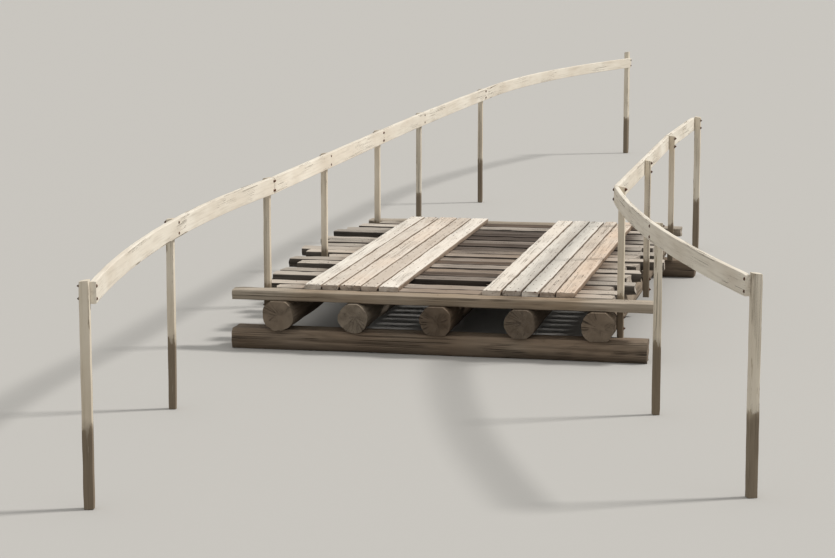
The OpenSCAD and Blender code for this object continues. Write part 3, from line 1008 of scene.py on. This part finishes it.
def deck_spikes(rows, rng):
    """Spikes through the deck's timbers into the logs, where no plank covers them."""
    batch = Batch()
    tracks = [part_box(node) for node in PLANK_NODES]
    across, along = LOG_SPIKE_STRAY
    for points in rows:
        low, high = points.min(0), points.max(0)
        for node in STRINGER_NODES:
            x = sum(corner.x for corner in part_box(node)) / 2 + rng.uniform(-across, across)
            y = (low[1] + high[1]) / 2 + rng.uniform(-along, along)
            under = any(start.x - PLANK_CLEAR < x < finish.x + PLANK_CLEAR and start.y < y < finish.y
                        for start, finish in tracks)
            if not under and low[0] + END_CLEAR < x < high[0] - END_CLEAR:
                stud(batch, np.array([x, y, high[2] - LOG_SPIKE_SUNK]), UP, SPIKE)
    batch.piece("deck_spikes", steel, "cross_timber")


def build_spikes():
    rng = np.random.default_rng(SPIKE_SEED)
    rows = [points for node in CROSS_NODES for points in CROSS_SOLIDS[node]]
    rows += [node_points(node) for node in SLEEPER_NODES]
    plank_spikes(rows, rng)
    deck_spikes(rows, rng)


# Each board is held by two bolts, this far below and above its middle
BOLT_UP = 0.042
# A board that ends this near a post's middle has bolts of its own, this far in from its end
JOINT_NEAR = 0.04
JOINT_INSET = 0.016
# Heights of the coach bolts, as shares of the log's height
COACH_BOLT_SHARES = (0.36, 0.72)


def bolt_shifts(post, boards):
    """How far from a post's middle its bolts are along the rail: at one place through a board
    that passes, and at one for each board that ends there."""
    shifts = []
    for run in boards:
        for end, way in ((run.points[0], 1), (run.points[-1], -1)):
            gap = (end[:2] - post.middle) @ post.ahead
            if abs(gap) < JOINT_NEAR:
                shifts.append(gap + way * JOINT_INSET)
    return shifts or [0.0]


def nut_end(batch, place, outward):
    for profile, sides in ((WASHER, 16), (NUT, 6), (SHANK, 10)):
        stud(batch, place, outward, profile, sides)


def build_bolts():
    """Cup-head bolts through each board and post, with a washer and nut outside, and coach
    bolts that hold the bridge posts to the outer logs."""
    batch = Batch()
    board_thick = max(thick for _, _, thick in RAILS.values())
    log_low, log_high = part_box("stringer_centre")
    for node, post in POSTS.items():
        side = node.split("_")[0]
        outward = np.array([*post.across, 0.0]) * (-1 if side == "left" else 1)
        ahead = np.array([*post.ahead, 0.0])
        middle = np.array([*post.middle, 0.0])
        to_face = outward * post.width / 2
        boards = [run for name, (run, _, _) in RAILS.items() if name.split("_")[0] == side]
        rail_z = boards[0].points[0, 2]
        for shift in bolt_shifts(post, boards):
            for up in (-BOLT_UP, BOLT_UP):
                spot = middle + ahead * shift + UP * (rail_z + up)
                stud(batch, spot - to_face - outward * board_thick, -outward, CUP_HEAD)
                nut_end(batch, spot + to_face, outward)
        if node[-1] in BRIDGE_POSTS:
            for share in COACH_BOLT_SHARES:
                z = log_low.z + share * (log_high.z - log_low.z)
                nut_end(batch, middle + UP * z + to_face, outward)
    batch.piece("rail_bolts", steel, "rail_post")


# Stage, lights and camera

FLOOR_SIZE = 600
FLOOR_GAP = 0.002
# Pale to the camera, and darker to bounced light, so that undersides stay in shade
FLOOR_SEEN, FLOOR_BOUNCE = "#c4c3c1", "#9a9791"
BACKDROP_SEEN = "#c8c5bf"
SKY_COLOUR, SKY_STRENGTH = "#f8f6f1", 0.6
SUN_COLOUR, SUN_STRENGTH = (1.0, 0.965, 0.91), 2.2
SUN_ANGLE = math.radians(9)
TOWARDS_SUN = Vector((0.66, 0.28, 0.7))


def build_stage():
    bpy.ops.mesh.primitive_plane_add(size=FLOOR_SIZE, location=(0, 0, cad_box[0].z - FLOOR_GAP))
    floor = bpy.context.object
    floor.name = "floor"
    graph = Graph("floor_pale")
    seen = graph.node("ShaderNodeLightPath").outputs["Is Camera Ray"]
    graph.surface(Base_Color=graph.mix(seen, colour(FLOOR_BOUNCE), colour(FLOOR_SEEN)),
                  Roughness=0.95, Specular_IOR_Level=0.1)
    floor.data.materials.append(graph.material)


def build_sky():
    """A soft even sky, which the camera and reflections see as the backdrop's colour."""
    world = bpy.data.worlds.new("studio")
    bpy.context.scene.world = world
    world.use_nodes = True
    nodes, link = world.node_tree.nodes, world.node_tree.links.new
    sky = nodes["Background"]
    sky.inputs["Color"].default_value = colour(SKY_COLOUR)
    sky.inputs["Strength"].default_value = SKY_STRENGTH
    backdrop = nodes.new("ShaderNodeBackground")
    backdrop.inputs["Color"].default_value = colour(BACKDROP_SEEN)
    rays = nodes.new("ShaderNodeLightPath")
    either = nodes.new("ShaderNodeMath")
    either.operation = "MAXIMUM"
    link(rays.outputs["Is Camera Ray"], either.inputs[0])
    link(rays.outputs["Is Glossy Ray"], either.inputs[1])
    mix = nodes.new("ShaderNodeMixShader")
    link(either.outputs[0], mix.inputs[0])
    link(sky.outputs[0], mix.inputs[1])
    link(backdrop.outputs[0], mix.inputs[2])
    link(mix.outputs[0], nodes["World Output"].inputs["Surface"])


def build_sun():
    data = bpy.data.lights.new("key", "SUN")
    data.energy = SUN_STRENGTH
    data.angle = SUN_ANGLE
    data.color = SUN_COLOUR
    key = bpy.data.objects.new("key", data)
    key.rotation_mode = "QUATERNION"
    key.rotation_quaternion = TOWARDS_SUN.to_track_quat("Z", "Y")
    bpy.context.scene.collection.objects.link(key)


# The photograph's camera: its lens in its own pixels, and its place from the middle of the
# deck's near edge at the height of the wheel tracks. The render keeps its place, and a longer
# lens aimed at the bridge fills the frame with it.
PHOTO_WIDTH = 835
PHOTO_CENTRE = (417.5, 279.0)
PHOTO_FOCAL = 812.0
PHOTO_HEADING = math.radians(8.085)
PHOTO_PITCH = math.radians(3.91)
EYE = (3.907, -19.80, 3.37)
AIM = (367.5, 354.0)
MAGNIFY = 2.86
SENSOR = 36.0
VIEW_END = 400


def build_camera():
    right = Vector((math.cos(PHOTO_HEADING), math.sin(PHOTO_HEADING), 0))
    level = Vector((-math.sin(PHOTO_HEADING), math.cos(PHOTO_HEADING), 0))
    forward = level * math.cos(PHOTO_PITCH) - Vector((0, 0, math.sin(PHOTO_PITCH)))
    upward = right.cross(forward)
    way = forward * PHOTO_FOCAL + right * (AIM[0] - PHOTO_CENTRE[0]) + upward * (PHOTO_CENTRE[1] - AIM[1])
    data = bpy.data.cameras.new("camera")
    data.sensor_width = SENSOR
    data.lens = SENSOR * PHOTO_FOCAL / PHOTO_WIDTH * MAGNIFY
    data.clip_end = VIEW_END
    camera = bpy.data.objects.new("camera", data)
    camera.location = Vector(EYE) + Vector((0, DECK_NEAR_EDGE, DECK_TOP))
    camera.rotation_mode = "QUATERNION"
    camera.rotation_quaternion = way.to_track_quat("-Z", "Y")
    bpy.context.scene.collection.objects.link(camera)
    bpy.context.scene.camera = camera


build_logs()
build_deck()
build_rails()
build_posts()
build_spikes()
build_bolts()
build_stage()
build_sky()
build_sun()
build_camera()
bpy.context.scene.view_settings.view_transform = "Standard"
